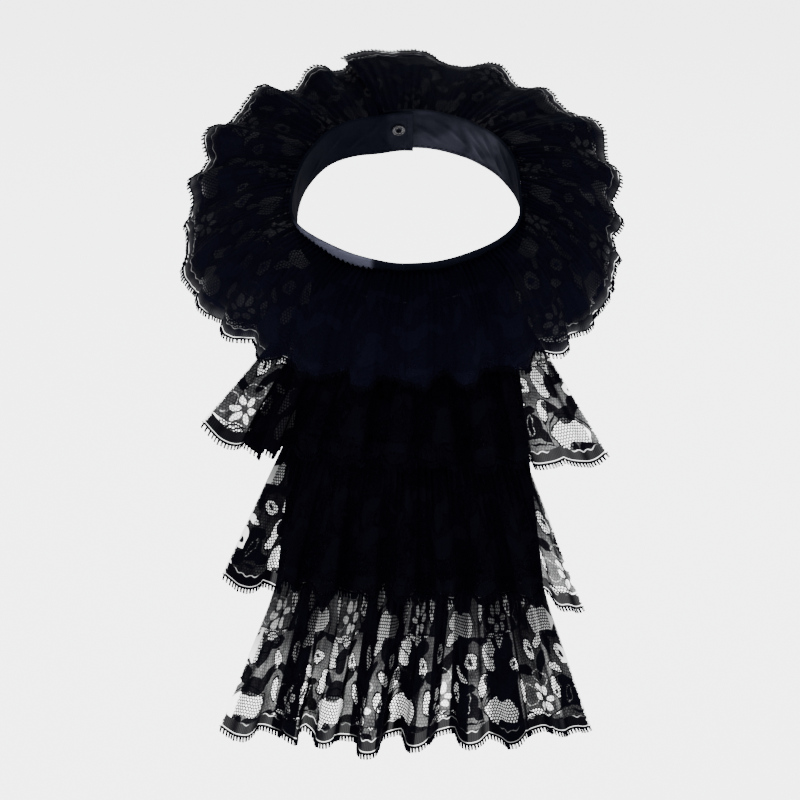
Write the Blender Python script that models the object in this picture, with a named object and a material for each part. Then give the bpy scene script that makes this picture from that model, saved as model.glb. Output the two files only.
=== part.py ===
"""A lace jabot as it is worn: a satin neckband closed behind by a snap, a gathered lace ruff
all round it, and three gathered lace tiers hanging one over the other on a satin panel.

Metres, +Z up. The wearer looks along -Y and +X is to the right of the picture. The origin is
the middle of the neckband, where the neck holds it up.
"""

import math

import bmesh
import bpy
from mathutils import Vector

# Neckband
NECK_TILT = math.radians(29)  # how far the band's front hangs below its back
BAND_RADIUS = 0.0600  # to the middle of the band's wall
BAND_HEIGHT = 0.0270
BAND_WALL = 0.0016  # two layers of satin
BAND_COLUMNS = 62
BAND_ROWS = 3
INNER_END = math.radians(-182)  # the end that lies against the neck
OUTER_END = math.radians(193)  # the end that laps over it from outside
LAP_START = math.radians(-135)  # from here on the inner end steps in
LAP_STEP = 0.0041  # from wall to wall of the two lapped ends, with the snap between
SEAM_GAP = 0.0003  # between two pieces that are sewn together

# Snap
SNAP_ANGLE = math.radians(-173.9)
SNAP_HEIGHT = 0.0026
SNAP_RADIUS = 0.0035
SNAP_HOLE_RADIUS = 0.0015
SNAP_RING_THICKNESS = 0.0010
SNAP_SIDES = 20

# Lace
LACE_WALL = 0.0010
SCALLOP = 0.0240  # width of one scallop of the lace edging
SCALLOP_DEPTH = 0.0035

# Ruff: one strip of lace edging, gathered on to the band's outer face
RUFF_SEAM_HEIGHT = 0.0085  # above the middle of the band
RUFF_COLUMNS_PER_SCALLOP = 4
RUFF_ROWS = 6
RUFF_SEAM_ENDS = (-166.0, 194.2)  # in degrees; it ends just past the band's outer end
RUFF_RIM_ENDS = (-171, 197)  # below the seam its ends lap
RUFF_END_PARTING = 0.0026
RUFF_PARTING_LENGTH = math.radians(22)
RUFF_RIM_RADIUS = 0.1120
RUFF_PULL = 0.40  # how far a fold leans over its neighbour
RUFF_GROWTH = 0.8
RUFF_SLACK = 0.0002  # the strip is flat between its columns and the band round

# How the ruff lies, by the angle round the neck from the front: its droop at the seam and at
# the rim, in degrees below the band's plane, and the length of its fall from seam to rim in mm
RUFF_LIE = (
    (-180, 0, 26, 66),
    (-135, 2, 30, 69),
    (-90, 16, 56, 68),
    (-45, 2, 78, 64),
    (0, -12, 86, 60),
    (45, 0, 80, 62),
    (90, 18, 60, 65),
    (135, 2, 32, 66),
    (180, 0, 26, 66),
)

# The ruff's flutes: angle of each crest from the front in degrees, its height and the depth
# of the hollow before it, in mm
RUFF_CRESTS = (
    (-157, 4, 0.5),
    (-141, 4.5, 3.5),
    (-123, 4, 3.5),
    (-109, 2.5, 2.5),
    (-96, 2, 2),
    (-82, 2.5, 1.5),
    (-69, 1.5, 2),
    (-56, 2.5, 1.5),
    (-42, 3, 2.5),
    (-28, 4.5, 3.5),
    (-13, 5.5, 4.5),
    (2, 5, 5),
    (16, 5.5, 4.5),
    (31, 4.5, 5),
    (45, 3, 3.5),
    (58, 2, 2.5),
    (72, 2.5, 1.5),
    (85, 1.5, 2),
    (99, 3, 2),
    (112, 2, 2),
    (127, 3.5, 2),
    (143, 3, 3),
    (159, 4, 2.5),
    (177, 4, 3),
)
RUFF_BACK_CREST = 4  # the low broad flute where the ends lap
RUFF_BACK_CREST_END = -167

# Chest, as far as the panel and the tiers lie on it
CHEST_LEAN = math.radians(15)  # the chest's line, forward of straight down
CHEST_RISE = 0.0115  # how far the chest stands out below the neck
CHEST_RISE_LENGTH = 0.0350
CHEST_RADIUS_ABOVE = 0.0850  # across the body, at the neck and at the lowest tier
CHEST_RADIUS_BELOW = 0.1400
CHEST_ROUND_WIDTH = 0.0560  # past this far from the middle the cloth falls straighter
CHEST_SIDE_SLOPE = 0.25

# Panel: satin, cut wider below
PANEL_WALL = 0.0012
PANEL_TOP_HALF_WIDTH = 0.0500
PANEL_BOTTOM_HALF_WIDTH = 0.0690
PANEL_BOTTOM = 0.1960  # down the chest from the band's middle
PANEL_COLUMNS = 12
PANEL_ROWS = 9
NECK_TO_CHEST = 0.0450  # length over which the panel turns from the neck to the chest

# Tiers
TIER_WIDTH = 0.0750
TIER_COLUMNS_PER_SCALLOP = 5
TIER_ROWS = (0.0, 0.13, 0.27, 0.42, 0.57, 0.72, 0.86, 1.0)
TIER_GAP = 0.0006 + (PANEL_WALL + LACE_WALL) / 2  # round cloth on the panel's flat facets
FOLD_PULL = 0.36
FOLD_GROWTH = 1.1  # folds start at nothing in the seam and grow towards the hem

# Each tier's gathered seam, in mm: how far below the band's middle its left end, middle and
# right end lie, and how far its ends lie from the middle
TIERS = {
    "tier_1": {"left": 53, "middle": 54, "right": 58, "left_half": 54, "right_half": 58},
    "tier_2": {"left": 120, "middle": 121, "right": 127, "left_half": 62, "right_half": 57},
    "tier_3": {"left": 193, "middle": 195, "right": 194, "left_half": 66, "right_half": 66},
}

# Folds along each hem, in mm: how far each turn lies to the right of the middle, how far it
# stands off the chest, and how much lower it hangs. Crests and hollows follow each other.
HEMS = {
    "tier_1": (
        (-107, 13, 4),
        (-92, 17, 4),
        (-79, 10, 4),
        (-74, 24, 5),
        (-62, 9, 0),
        (-52, 20, 0),
        (-41, 9, 0),
        (-29, 21, 1),
        (-19, 9, 0),
        (-6, 22, 0),
        (4, 9, -2),
        (17, 20, 0),
        (27, 9, 0),
        (38, 22, 1),
        (48, 9, 0),
        (58, 19, 0),
        (67, 10, 2),
        (84, 17, 4),
        (102, 11, 7),
    ),
    "tier_2": (
        (-96, 12, 2),
        (-82, 17, 2),
        (-69, 10, 0),
        (-63, 23, -2),
        (-53, 9, -1),
        (-42, 21, 0),
        (-33, 9, -1),
        (-22, 22, 0),
        (-13, 9, -2),
        (-2, 20, 0),
        (8, 9, -1),
        (18, 23, 0),
        (28, 9, -1),
        (39, 20, 0),
        (49, 9, -1),
        (58, 21, 0),
        (68, 10, 0),
        (79, 16, 5),
        (89, 12, 10),
    ),
    "tier_3": (
        (-98, 9, 7),
        (-86, 14, 5),
        (-71, 5, 1),
        (-61, 19, 2),
        (-53, 5, 1),
        (-43, 16, 3),
        (-32, 4, 0),
        (-21, 24, 5),
        (-9, 4, -1),
        (4, 19, 2),
        (17, 4, -3),
        (30, 15, 2),
        (43, 9, 1),
        (54, 16, 3),
        (67, 4, -1),
        (76, 12, 2),
        (84, 6, 1),
        (93, 9, 4),
    ),
}

SIDE = Vector((1, 0, 0))
BACK = Vector((0, math.cos(NECK_TILT), math.sin(NECK_TILT)))
NECK_UP = Vector((0, -math.sin(NECK_TILT), math.cos(NECK_TILT)))
DOWN = Vector((0, -math.sin(CHEST_LEAN), -math.cos(CHEST_LEAN)))
OUT = Vector((0, -math.cos(CHEST_LEAN), math.sin(CHEST_LEAN)))
FORWARD = Vector((0, -1, 0))
MM = 0.001


def clear_scene():
    for thing in list(bpy.data.objects):
        bpy.data.objects.remove(thing, do_unlink=True)


def material(name, colour, roughness, metallic=0.0):
    made = bpy.data.materials.new(name)
    made.use_nodes = True
    shader = made.node_tree.nodes["Principled BSDF"]
    shader.inputs["Base Color"].default_value = (*colour, 1)
    shader.inputs["Roughness"].default_value = roughness
    shader.inputs["Metallic"].default_value = metallic
    return made


def smooth_step(value):
    held = min(max(value, 0.0), 1.0)
    return held * held * (3 - 2 * held)


def mix(a, b, share):
    return a + (b - a) * share


def from_table(table, at, column):
    """A column of a table whose first column rises, read smoothly between its rows."""
    for low, high in zip(table, table[1:]):
        if at <= high[0]:
            share = smooth_step((at - low[0]) / (high[0] - low[0]))
            return mix(low[column], high[column], share)
    return table[-1][column]


def ring_point(angle, radius, height):
    """A point round the neck. The angle is 0 in front and grows towards +X."""
    around = SIDE * math.sin(angle) - BACK * math.cos(angle)
    return around * radius + NECK_UP * height


def chest_point(across, down, out):
    return SIDE * across + DOWN * down + OUT * out


def neck_edge(across):
    """Where the band's lower edge lies, down and out on the chest's axes."""
    held = min(abs(across), CHEST_ROUND_WIDTH)
    angle = math.asin(held / BAND_RADIUS)
    edge = ring_point(angle, BAND_RADIUS, -BAND_HEIGHT / 2 - SEAM_GAP - PANEL_WALL / 2)
    return edge.dot(DOWN), edge.dot(OUT)


def chest_out(across, down):
    """How far out the chest's surface is, at a place across and down."""
    neck_down, neck_out = neck_edge(across)
    middle_down, middle_out = neck_edge(0)
    fall = max(down - middle_down, 0)
    chest = middle_out + CHEST_RISE * (1 - math.exp(-fall / CHEST_RISE_LENGTH))
    radius = mix(CHEST_RADIUS_ABOVE, CHEST_RADIUS_BELOW, smooth_step(fall / PANEL_BOTTOM))
    held = min(abs(across), CHEST_ROUND_WIDTH)
    chest -= held * held / (2 * radius)
    chest -= CHEST_SIDE_SLOPE * (abs(across) - held)
    return mix(neck_out, chest, smooth_step((down - neck_down) / NECK_TO_CHEST))


def chest_normal(across, down):
    """The chest's outward direction at a place."""
    step = MM
    here = chest_point(across, down, chest_out(across, down))
    aside = chest_point(across + step, down, chest_out(across + step, down)) - here
    below = chest_point(across, down + step, chest_out(across, down + step)) - here
    return below.cross(aside).normalized()


def fold_line(turns, pull):
    """A smooth line through the turns of a row of folds, as close points.

    A turn is (along, out, any further value), and the line keeps its columns.
    """
    steps = 24
    points = []
    for low, high in zip(turns, turns[1:]):
        reach = 0.35 * (high[0] - low[0]) + pull * abs(high[1] - low[1])
        for step in range(steps):
            t = step / steps
            s = 1 - t
            along = s**3 * low[0] + 3 * s * s * t * (low[0] + reach)
            along += 3 * s * t * t * (high[0] - reach) + t**3 * high[0]
            rest = [mix(a, b, smooth_step(t)) for a, b in zip(low[1:], high[1:])]
            points.append((along, *rest))
    points.append(tuple(turns[-1]))
    return points


def cloth_length(points):
    return sum(math.dist(a[:2], b[:2]) for a, b in zip(points, points[1:]))


def evenly(points, count):
    """The line's points again, count + 1 of them at equal lengths of cloth."""
    lengths = [0.0]
    for low, high in zip(points, points[1:]):
        lengths.append(lengths[-1] + math.dist(low[:2], high[:2]))
    even = []
    spot = 0
    for k in range(count + 1):
        wanted = lengths[-1] * k / count
        while spot < len(points) - 2 and lengths[spot + 1] < wanted:
            spot += 1
        share = (wanted - lengths[spot]) / (lengths[spot + 1] - lengths[spot])
        even.append([mix(a, b, share) for a, b in zip(points[spot], points[spot + 1])])
    return even


def cloth(name, grid, wall, look, windows=()):
    """A closed wall of cloth round a grid of points, with some of its cells cut through."""
    rows = len(grid)
    columns = len(grid[0])
    made = bmesh.new()
    outer = []
    inner = []
    for i in range(rows):
        outer.append([])
        inner.append([])
        for j in range(columns):
            along = grid[i][min(j + 1, columns - 1)] - grid[i][max(j - 1, 0)]
            down = grid[min(i + 1, rows - 1)][j] - grid[max(i - 1, 0)][j]
            offset = along.cross(down).normalized() * (-wall / 2)
            outer[i].append(made.verts.new(grid[i][j] + offset))
            inner[i].append(made.verts.new(grid[i][j] - offset))
    kept = {(i, j) for i in range(rows - 1) for j in range(columns - 1)} - set(windows)
    for i, j in sorted(kept):
        corners = ((i, j), (i, j + 1), (i + 1, j + 1), (i + 1, j))
        made.faces.new([outer[a][b] for a, b in corners])
        made.faces.new([inner[a][b] for a, b in reversed(corners)])
        sides = ((i - 1, j), (i, j + 1), (i + 1, j), (i, j - 1))
        for side, neighbour in enumerate(sides):
            if neighbour not in kept:
                a, b = corners[side]
                c, d = corners[(side + 1) % 4]
                made.faces.new((outer[c][d], outer[a][b], inner[a][b], inner[c][d]))
    loose = [v for v in made.verts if not v.link_faces]
    bmesh.ops.delete(made, geom=loose, context="VERTS")
    bmesh.ops.recalc_face_normals(made, faces=made.faces)
    finish(name, made, look)


def finish(name, made, look):
    mesh = bpy.data.meshes.new(name)
    made.to_mesh(mesh)
    made.free()
    mesh.shade_smooth()
    mesh.set_sharp_from_angle(angle=math.radians(50))
    mesh.materials.append(look)
    bpy.context.scene.collection.objects.link(bpy.data.objects.new(name, mesh))


def band_radius(angle):
    """Radius of the band's middle: the end against the neck steps in under the other."""
    share = smooth_step((LAP_START - angle) / (LAP_START - math.radians(-168)))
    return BAND_RADIUS - LAP_STEP * share


def make_neckband(look):
    grid = []
    for row in range(BAND_ROWS + 1):
        height = BAND_HEIGHT * (0.5 - row / BAND_ROWS)
        line = []
        for column in range(BAND_COLUMNS + 1):
            angle = mix(INNER_END, OUTER_END, column / BAND_COLUMNS)
            line.append(ring_point(angle, band_radius(angle), height))
        grid.append(line)
    cloth("neckband", grid, BAND_WALL, look)


def turned(profile, radius):
    """Rings of points round the snap's axis, from a profile of (from the axis, along it)."""
    centre = ring_point(SNAP_ANGLE, radius, SNAP_HEIGHT)
    axis = ring_point(SNAP_ANGLE, 1, 0).normalized()
    across = NECK_UP.cross(axis)
    made = bmesh.new()
    rings = []
    for reach, height in profile:
        ring = []
        for k in range(SNAP_SIDES):
            turn = 2 * math.pi * k / SNAP_SIDES
            around = across * math.cos(turn) + NECK_UP * math.sin(turn)
            ring.append(made.verts.new(centre + around * reach + axis * height))
        rings.append(ring)
    return made, rings


def bridge(made, low, high):
    count = len(low)
    for k in range(count):
        after = (k + 1) % count
        made.faces.new((low[k], low[after], high[after], high[k]))


def make_snap(look):
    """The open ring that grips the inner end, and the disc between the two ends."""
    inner_face = BAND_RADIUS - LAP_STEP - BAND_WALL / 2
    ring_middle = inner_face - SEAM_GAP - SNAP_RING_THICKNESS / 2
    half = SNAP_RING_THICKNESS / 2
    lip = SNAP_RADIUS - 0.0005
    profile = (
        (SNAP_HOLE_RADIUS, half),
        (SNAP_RADIUS, half),
        (SNAP_RADIUS, 0),
        (lip, -half),
        (SNAP_HOLE_RADIUS, -half),
    )
    made, rings = turned(profile, ring_middle)
    for low, high in zip(rings, rings[1:] + rings[:1]):
        bridge(made, low, high)
    bmesh.ops.recalc_face_normals(made, faces=made.faces)
    finish("snap_ring", made, look)

    thickness = LAP_STEP - BAND_WALL - 2 * SEAM_GAP - 0.0002
    disc_middle = BAND_RADIUS - LAP_STEP / 2
    half = thickness / 2
    edge = SNAP_RADIUS - 0.0003
    profile = ((edge - 0.0005, half), (edge, 0), (edge - 0.0005, -half))
    made, rings = turned(profile, disc_middle)
    for low, high in zip(rings, rings[1:]):
        bridge(made, low, high)
    made.faces.new(rings[0])
    made.faces.new(rings[-1])
    bmesh.ops.recalc_face_normals(made, faces=made.faces)
    finish("snap_disc", made, look)


def make_panel(look):
    grid = []
    for row in range(PANEL_ROWS + 1):
        share = row / PANEL_ROWS
        half = mix(PANEL_TOP_HALF_WIDTH, PANEL_BOTTOM_HALF_WIDTH, share)
        line = []
        for column in range(PANEL_COLUMNS + 1):
            across = half * (2 * column / PANEL_COLUMNS - 1)
            top, _ = neck_edge(across)
            down = mix(top, PANEL_BOTTOM, share)
            line.append(chest_point(across, down, chest_out(across, down)))
        grid.append(line)
    cloth("jabot_panel", grid, PANEL_WALL, look)


def scallop_drop(column, per_scallop):
    """The extra length of the lace at a column, along the scalloped hem."""
    place = (column % per_scallop) / per_scallop
    return SCALLOP_DEPTH * math.sin(math.pi * place)


def ruff_turns():
    """Crests and hollows round the neck, as (angle in degrees, height in mm)."""
    left, right = RUFF_RIM_ENDS
    turns = [(left, RUFF_BACK_CREST), (RUFF_BACK_CREST_END, RUFF_BACK_CREST)]
    for angle, crest, hollow in RUFF_CRESTS:
        turns.append(((turns[-1][0] + angle) / 2, -hollow))
        turns.append((angle, crest))
    turns.append((right, RUFF_BACK_CREST))
    return turns


def ruff_profile(angle, share, drop):
    """How far out and how high a ruff's point is from its seam, and its droop there."""
    facing = (math.degrees(angle) + 180) % 360 - 180
    start = math.radians(from_table(RUFF_LIE, facing, 1))
    end = math.radians(from_table(RUFF_LIE, facing, 2))
    width = from_table(RUFF_LIE, facing, 3) * MM + drop
    steps = 8
    out = 0.0
    height = 0.0
    for step in range(steps):
        droop = mix(start, end, share * (step + 0.5) / steps)
        out += math.cos(droop) * width * share / steps
        height -= math.sin(droop) * width * share / steps
    return out, height, mix(start, end, share)


def end_share(angle):
    """From -1 at the strip's left end, through 0 over most of it, to 1 at its right end."""
    left, right = (math.radians(end) for end in RUFF_SEAM_ENDS)
    before = smooth_step(1 - (angle - left) / RUFF_PARTING_LENGTH)
    after = smooth_step(1 - (right - angle) / RUFF_PARTING_LENGTH)
    return after - before


def make_ruff(look):
    rim = RUFF_RIM_RADIUS
    turns = [(math.radians(angle) * rim, high * MM) for angle, high in ruff_turns()]
    line_round = fold_line(turns, RUFF_PULL)
    scallops = round(cloth_length(line_round) / SCALLOP)
    columns = scallops * RUFF_COLUMNS_PER_SCALLOP
    folds = evenly(line_round, columns)
    first, last = (math.radians(end) for end in RUFF_SEAM_ENDS)
    seam_gap = (BAND_WALL + LACE_WALL) / 2 + SEAM_GAP + RUFF_SLACK
    grid = []
    for row in range(RUFF_ROWS + 1):
        share = row / RUFF_ROWS
        growth = share**RUFF_GROWTH
        line = []
        for column in range(columns + 1):
            along, out = folds[column]
            seam_angle = mix(first, last, column / columns)
            angle = mix(seam_angle, along / rim, growth)
            drop = scallop_drop(column, RUFF_COLUMNS_PER_SCALLOP) if row == RUFF_ROWS else 0
            reach, height, droop = ruff_profile(angle, share, drop)
            radius = band_radius(seam_angle) + seam_gap + reach
            point = ring_point(angle, radius, RUFF_SEAM_HEIGHT + height)
            facing = ring_point(angle, math.sin(droop), math.cos(droop))
            parting = RUFF_END_PARTING * end_share(seam_angle) * mix(0.5, 1, smooth_step(share * 4))
            line.append(point + facing * (out * growth + parting))
        grid.append(line)
    windows = []
    for scallop in range(scallops):
        first = scallop * RUFF_COLUMNS_PER_SCALLOP
        windows.append((RUFF_ROWS - 2, first + 1))
        windows.append((RUFF_ROWS - 2, first + 2))
    cloth("collar_ruff", grid, LACE_WALL, look, windows)


def make_tier(name, look):
    seam = {key: size * MM for key, size in TIERS[name].items()}
    hem = fold_line([[size * MM for size in turn] for turn in HEMS[name]], FOLD_PULL)
    scallops = round(cloth_length(hem) / SCALLOP)
    columns = scallops * TIER_COLUMNS_PER_SCALLOP
    folds = evenly(hem, columns)
    grid = []
    for row, share in enumerate(TIER_ROWS):
        line = []
        for column in range(columns + 1):
            place = column / columns
            hem_across, hem_out, hang = folds[column]
            head_across = mix(-seam["left_half"], seam["right_half"], place)
            head = mix(seam["middle"], seam["left" if place < 0.5 else "right"], (2 * place - 1) ** 2)
            length = TIER_WIDTH + hang
            if row == len(TIER_ROWS) - 1:
                length += scallop_drop(column, TIER_COLUMNS_PER_SCALLOP)
            fall = math.sqrt(length**2 - (hem_across - head_across) ** 2 - hem_out**2)
            across = mix(head_across, hem_across, share)
            down = head + fall * share
            point = chest_point(across, down, chest_out(across, down))
            point += chest_normal(across, down) * TIER_GAP
            line.append(point + FORWARD * hem_out * share**FOLD_GROWTH)
        grid.append(line)
    windows = []
    for scallop in range(scallops):
        first = scallop * TIER_COLUMNS_PER_SCALLOP
        windows.append((4, first + 1))
        windows.append((4, first + 2))
        windows.append((2, first + 4))
    cloth(name, grid, LACE_WALL, look, windows)


def main():
    clear_scene()
    satin = material("black satin", (0.018, 0.020, 0.030), 0.32)
    lace = material("black lace", (0.010, 0.010, 0.014), 0.75)
    metal = material("black painted metal", (0.030, 0.030, 0.034), 0.35, 0.6)
    make_neckband(satin)
    make_snap(metal)
    make_panel(satin)
    make_ruff(lace)
    for name in TIERS:
        make_tier(name, lace)


main()
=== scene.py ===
"""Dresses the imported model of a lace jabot: satin, lace, thread, the floor, light and camera."""

import math

import bmesh
import bpy
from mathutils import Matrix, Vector, noise


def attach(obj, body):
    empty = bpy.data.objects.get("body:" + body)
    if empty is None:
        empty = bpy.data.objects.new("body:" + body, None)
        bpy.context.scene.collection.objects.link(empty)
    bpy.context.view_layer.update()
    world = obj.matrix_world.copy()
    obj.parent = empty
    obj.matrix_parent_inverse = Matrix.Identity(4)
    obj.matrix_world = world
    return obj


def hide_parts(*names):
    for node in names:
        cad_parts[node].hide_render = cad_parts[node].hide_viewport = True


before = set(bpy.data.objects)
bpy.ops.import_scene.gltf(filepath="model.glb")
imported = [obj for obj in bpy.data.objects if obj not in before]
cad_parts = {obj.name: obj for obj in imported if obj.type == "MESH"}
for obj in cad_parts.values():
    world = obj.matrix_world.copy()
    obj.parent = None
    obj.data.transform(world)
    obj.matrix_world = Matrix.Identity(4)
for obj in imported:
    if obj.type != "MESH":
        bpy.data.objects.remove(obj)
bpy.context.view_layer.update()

# ---- Camera
# The photograph looks down on the jabot from in front, and its frame is 800 by 800 pixels.

FRAME = 800
SENSOR = 36.0
CAMERA_DROP = math.radians(17)
CAMERA_DISTANCE = 1.55
PIXELS_PER_METRE = 1960.0  # where the jabot hangs
NECK_PIXEL = (410, 198)  # where the neckband's middle lies in the photograph
FRONT_DEPTH = 0.045  # the camera measures its distance from here, in front of the neck

camera_up = Vector((0, math.sin(CAMERA_DROP), math.cos(CAMERA_DROP)))
to_camera = Vector((0, -math.cos(CAMERA_DROP), math.sin(CAMERA_DROP)))
aim = Vector(((FRAME / 2 - NECK_PIXEL[0]) / PIXELS_PER_METRE, 0, 0))
aim += camera_up * ((NECK_PIXEL[1] - FRAME / 2) / PIXELS_PER_METRE)
aim += to_camera * FRONT_DEPTH


def placed(name, data):
    """A new object in the scene."""
    thing = bpy.data.objects.new(name, data)
    bpy.context.scene.collection.objects.link(thing)
    return thing


lens = bpy.data.cameras.new("camera")
lens.sensor_width = SENSOR
lens.lens = PIXELS_PER_METRE * CAMERA_DISTANCE / FRAME * SENSOR
lens.clip_end = 50
camera = placed("camera", lens)
camera.location = aim + to_camera * CAMERA_DISTANCE
camera.rotation_euler = to_camera.to_track_quat("Z", "Y").to_euler()
bpy.context.scene.camera = camera


# ---- Shader tools, floor and light
# A plain pale studio floor, far enough below the hanging lace that its shadow is soft.


class Amount:
    """One changing number in a material, which can be used in sums."""

    def __init__(self, look, socket):
        self.look = look
        self.socket = socket

    def sum(self, operation, *others):
        sockets = dict(enumerate((self, *others)))
        return self.look.add("ShaderNodeMath", {"operation": operation}, sockets)

    def __add__(self, other):
        return self.sum("ADD", other)

    def __sub__(self, other):
        return self.sum("SUBTRACT", other)

    def __mul__(self, other):
        return self.sum("MULTIPLY", other)

    def __truediv__(self, other):
        return self.sum("DIVIDE", other)

    def __rsub__(self, other):
        return (self * -1) + other

    __radd__ = __add__
    __rmul__ = __mul__

    def higher(self, other):
        return self.sum("MAXIMUM", other)

    def lower(self, other):
        return self.sum("MINIMUM", other)

    def sine(self):
        return self.sum("SINE")

    def cosine(self):
        return self.sum("COSINE")

    def size(self):
        return self.sum("ABSOLUTE")

    def floor(self):
        return self.sum("FLOOR")

    def power(self, other):
        return self.sum("POWER", other)

    def over(self, period):
        """The place within a repeat, from minus half of it to half of it."""
        return self.sum("WRAP", -period / 2, period / 2)

    def ramp(self, start, end, top=1.0):
        """0 at the start, rising softly to the top at the end."""
        soft = {"interpolation_type": "SMOOTHSTEP"}
        return self.look.add("ShaderNodeMapRange", soft, {0: self, 1: start, 2: end, 4: top})

    def above(self, edge, blur=0.12):
        """1 above the edge and 0 below it, soft over the blur."""
        return self.ramp(edge - blur, edge + blur)


class Look:
    """A material with one Principled shader."""

    def __init__(self, name, **sockets):
        self.material = bpy.data.materials.new(name)
        self.material.use_nodes = True
        self.tree = self.material.node_tree
        self.shader = self.tree.nodes["Principled BSDF"]
        for key, value in sockets.items():
            self.shader.inputs[key.replace("_", " ")].default_value = value

    def add(self, kind, settings=None, sockets=None, output=0):
        node = self.tree.nodes.new(kind)
        for key, value in (settings or {}).items():
            setattr(node, key, value)
        self.fill(node, sockets or {})
        return Amount(self, node.outputs[output])

    def fill(self, node, sockets):
        for key, value in sockets.items():
            if isinstance(value, Amount):
                self.tree.links.new(value.socket, node.inputs[key])
            else:
                node.inputs[key].default_value = value

    def feed(self, **sockets):
        self.fill(self.shader, {key.replace("_", " "): value for key, value in sockets.items()})

    def between(self, low, high, share):
        """A colour between two colours."""
        ends = {6: (*low, 1), 7: (*high, 1)}
        return self.add("ShaderNodeMix", {"data_type": "RGBA"}, {0: share, **ends}, output=2)

    def split(self, place):
        """The first two numbers of a place."""
        node = self.tree.nodes.new("ShaderNodeSeparateXYZ")
        self.tree.links.new(place.socket, node.inputs[0])
        return Amount(self, node.outputs[0]), Amount(self, node.outputs[1])

    def flat_cloth(self):
        """Across and up the flat cloth, in mm."""
        across, up = self.split(self.add("ShaderNodeUVMap", {"uv_map": "Cloth"}))
        return across * 1000, up * 1000

    def raised(self, height, distance, strength):
        bump = {"Height": height, "Distance": distance, "Strength": strength}
        return self.add("ShaderNodeBump", {}, bump)


FLOOR_HEIGHT = -0.42
FLOOR_SIZE = 16.0

made = bmesh.new()
bmesh.ops.create_grid(made, x_segments=8, y_segments=8, size=FLOOR_SIZE / 2)
bmesh.ops.translate(made, verts=made.verts, vec=(0, 0, FLOOR_HEIGHT))
mesh = bpy.data.meshes.new("floor")
made.to_mesh(mesh)
made.free()
paper = Look("white paper", Roughness=0.9, Emission_Color=(1, 1, 1, 1), Emission_Strength=3.8)
grain = paper.add("ShaderNodeTexNoise", {}, {"Scale": 3.0, "Detail": 4.0})
paper.feed(Base_Color=paper.between((0.85, 0.85, 0.85), (0.88, 0.88, 0.88), grain))
mesh.materials.append(paper.material)
floor = placed("floor", mesh)

LIT_SPOT = Vector((0, -0.05, -0.05))  # the soft boxes are turned towards it

# name, where it stands, width, power in watts, colour
SOFT_BOXES = (
    ("light_above", (0.1, 0.4, 2.2), 1.8, 34, (1.0, 1.0, 1.0)),
    ("light_left", (-1.6, -1.5, 1.3), 1.1, 34, (1.0, 0.98, 0.96)),
    ("light_right", (1.7, -0.6, 1.1), 1.1, 12, (0.92, 0.96, 1.0)),
    ("light_behind", (0.5, 1.9, 1.2), 1.2, 24, (0.80, 0.89, 1.0)),
)

for name, stand, width, power, colour in SOFT_BOXES:
    box = bpy.data.lights.new(name, "AREA")
    box.size = width
    box.energy = power
    box.color = colour
    lamp = placed(name, box)
    lamp.location = stand
    lamp.rotation_euler = (Vector(stand) - LIT_SPOT).to_track_quat("Z", "Y").to_euler()

sky = bpy.data.worlds.new("studio")
sky.use_nodes = True
sky.node_tree.nodes["Background"].inputs["Color"].default_value = (1, 1, 1, 1)
sky.node_tree.nodes["Background"].inputs["Strength"].default_value = 0.5
bpy.context.scene.world = sky


# ---- Neckband
# Black satin folded double and sewn below, 2.7 cm high. It goes round the neck, leans down in
# front, and laps behind. Short slanting wrinkles run across it where the cloth is turned.

NECK_TILT = math.radians(29)
BAND_RADIUS = 0.0600
BAND_HEIGHT = 0.0270
BAND_WALL = 0.0016
INNER_END = math.radians(-182)
OUTER_END = math.radians(193)
LAP_START = math.radians(-135)  # the inner end begins to turn in here
LAP_END = math.radians(-168)
LAP_STEP = 0.0041
LAP_LIFT = 0.0013  # and it rises a little between these two angles
LIFT_START = math.radians(-113)
LIFT_END = math.radians(-145)
BAND_RIPPLE = 0.0005
BAND_COLUMNS = 620
BAND_FACE_STEPS = 22  # up one face of the band
BAND_EDGE_STEPS = 4  # round its top and its bottom edge
BAND_STEPS = 2 * (BAND_FACE_STEPS + BAND_EDGE_STEPS)
BAND_SEAM = 0.0022  # its closing seam's height above the lower edge
BAND_SEAM_STEPS = 2400
BAND_SEAM_MARGIN = 0.004  # the share of the band's length left free at each end
BAND_END_SEAM = 0.009  # the same, for the short seams across its ends
BAND_END_SEAM_STEP = 0.0003
BAND_END_SEAM_STEPS = 34  # up and down from its middle
SEWN_THREAD = 0.00014
STITCH = 0.0021
STITCH_SPACE = 0.0011

# angle round the neck and spread in degrees, and how far in mm the band's top edge is
# pressed down there and its lower edge is turned up
BENT_EDGES = ((-84, 26, 4.2, 0), (84, 22, 3.6, 0), (-122, 24, 0, 3.2))
# angle and spread again, and how far out in mm the band's top edge leans there
LEANING_SIDES = ((-68, 20, 4.4), (60, 18, 2.2), (92, 20, -2.6))

# painted sheen, patches painted paler where light falls on the satin: along the band, up its outer
# and then down its inner face in mm, and how pale
PAINTED_SATIN_SHEEN = (
    (124, 141, -5, 29, 0.6),
    (143, 170, -5, 29, 1.2),
    (320, 384, 27, 62, 0.15),
    (-14, 14, 27, 62, 0.06),
)

SIDE = Vector((1, 0, 0))
BACK = Vector((0, math.cos(NECK_TILT), math.sin(NECK_TILT)))
NECK_UP = Vector((0, -math.sin(NECK_TILT), math.cos(NECK_TILT)))
MM = 0.001

# in mm across a wrinkle: its ridge's width, and its hollow's place, width and share of the depth
RIDGE_WIDTH = 1.3
HOLLOW_PLACE = 2.2
HOLLOW_WIDTH = 1.6
HOLLOW_SHARE = 0.45
WRINKLE_EDGE = 0.0040  # the wrinkles fade out this near to the band's edges
WRINKLE_RELIEF = 0.9 * MM  # of a wrinkle whose depth is 1

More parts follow.
